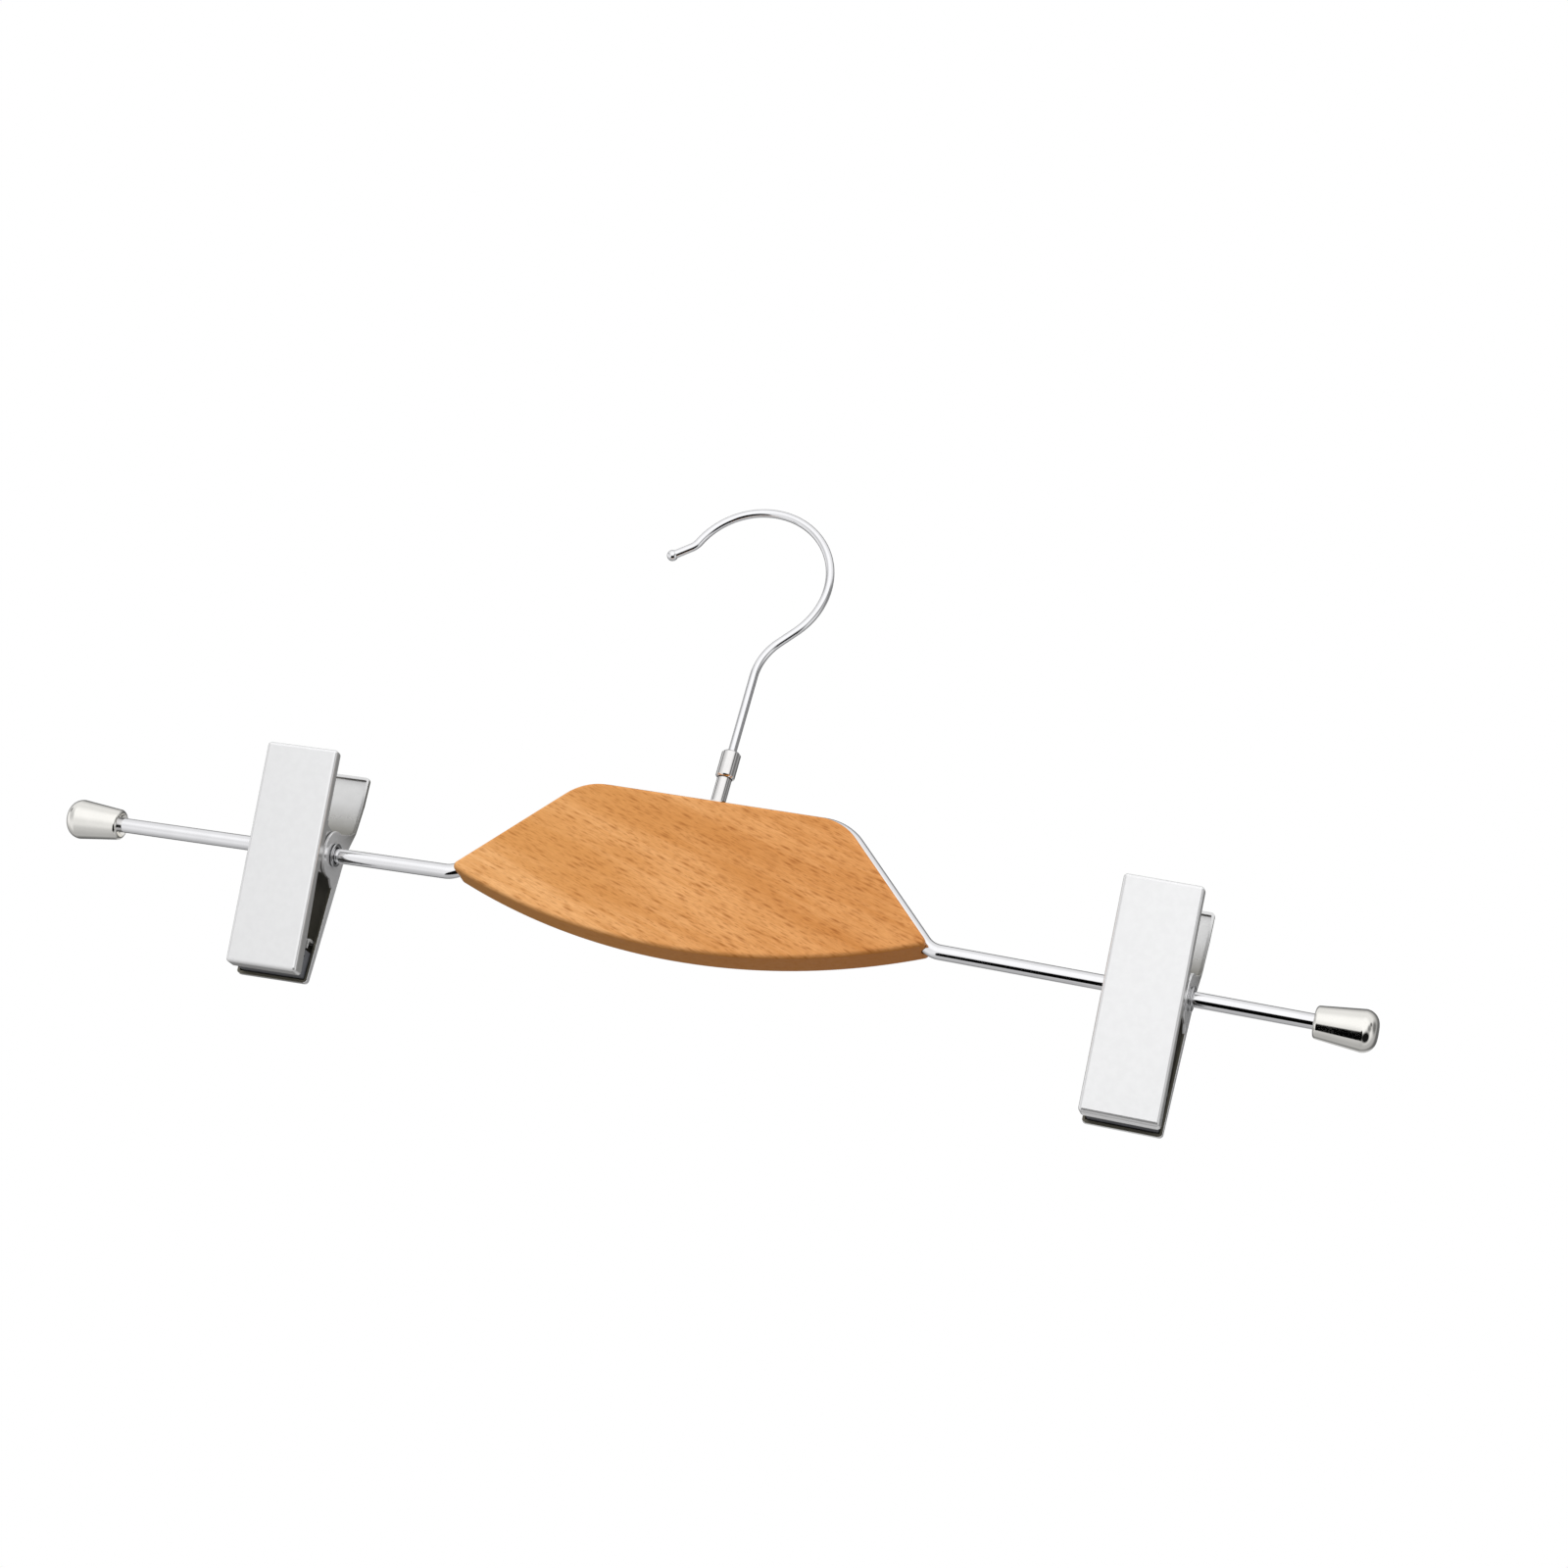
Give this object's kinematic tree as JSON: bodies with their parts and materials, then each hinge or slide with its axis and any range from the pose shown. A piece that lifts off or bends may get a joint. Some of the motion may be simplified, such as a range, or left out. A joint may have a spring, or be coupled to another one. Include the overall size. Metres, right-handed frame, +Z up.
{
  "type": "clip hanger",
  "caption": "Skirt and trouser hanger: swivel wire hook, wooden centre plate on a bar wire, and sprung sheet-metal clips that slide and swing on its arms.",
  "frame": {"origin": "inside of the hook's crown, where it rests on the rail, in the hook wire's mid-plane", "axes": "+X along the bar towards the right arm as seen from the front, +Z up along the hook's stem, front of the plate and of the clips towards -Y"},
  "size_m": [0.36, 0.0277, 0.1566],
  "materials": {
    "beech": "satin clear varnish over beech with short dark flecks",
    "chrome_wire": "bright plated wire",
    "nickel_plate": "bright nickel plating, a little warmer than the wire",
    "clip_steel": "satin plated sheet, faintly mottled",
    "pad_rubber": "matte black rubber with fine grooves",
    "spring_steel": "oiled spring wire"
  },
  "bodies": {
    "hook": {"hook": "chrome_wire"},
    "hanger": {"wooden_plate": "beech", "bar_wire": "chrome_wire", "end_cap_left": "nickel_plate", "end_cap_right": "nickel_plate", "swivel_barrel": "chrome_wire", "swivel_stud": "chrome_wire"},
    "left_sleeve": {"left_pivot_tube": "nickel_plate"},
    "left_rear_clip": {"left_rear_jaw": "clip_steel", "left_rear_pad": "pad_rubber", "left_torsion_spring": "spring_steel"},
    "left_front_clip": {"left_front_jaw": "clip_steel", "left_front_pad": "pad_rubber"},
    "right_sleeve": {"right_pivot_tube": "nickel_plate"},
    "right_rear_clip": {"right_rear_jaw": "clip_steel", "right_rear_pad": "pad_rubber", "right_torsion_spring": "spring_steel"},
    "right_front_clip": {"right_front_jaw": "clip_steel", "right_front_pad": "pad_rubber"}
  },
  "joints": [
    {"name": "hook_swivel", "type": "hinge", "parent": "hook", "child": "hanger", "pos_m": [0.0072, 0, -0.11815], "axis": [0, 0, 1], "continuous": true},
    {"name": "left_clip_slide", "type": "slide", "parent": "hanger", "child": "left_sleeve", "axis": [-0.9998, 0, -0.0209], "range_m": [-0.03, 0.042]},
    {"name": "left_clip_swing", "type": "hinge", "parent": "left_sleeve", "child": "left_rear_clip", "pos_m": [-0.10379, 0, -0.11909], "axis": [0.9998, 0, 0.0209], "continuous": true},
    {"name": "left_jaw_open", "type": "hinge", "parent": "left_rear_clip", "child": "left_front_clip", "pos_m": [-0.10379, 0, -0.11909], "axis": [-0.9998, 0, -0.0209], "range_deg": [0, 28], "stiffness_Nm_per_rad": 0.2, "springref_deg": -60.16, "deforming": ["left_torsion_spring"]},
    {"name": "right_clip_slide", "type": "slide", "parent": "hanger", "child": "right_sleeve", "axis": [0.9998, 0, -0.0209], "range_m": [-0.042, 0.03]},
    {"name": "right_clip_swing", "type": "hinge", "parent": "right_sleeve", "child": "right_rear_clip", "pos_m": [0.13019, 0, -0.11934], "axis": [0.9998, 0, -0.0209], "continuous": true},
    {"name": "right_jaw_open", "type": "hinge", "parent": "right_rear_clip", "child": "right_front_clip", "pos_m": [0.13019, 0, -0.11934], "axis": [-0.9998, 0, 0.0209], "range_deg": [0, 28], "stiffness_Nm_per_rad": 0.2, "springref_deg": -60.16, "deforming": ["right_torsion_spring"]}
  ]
}
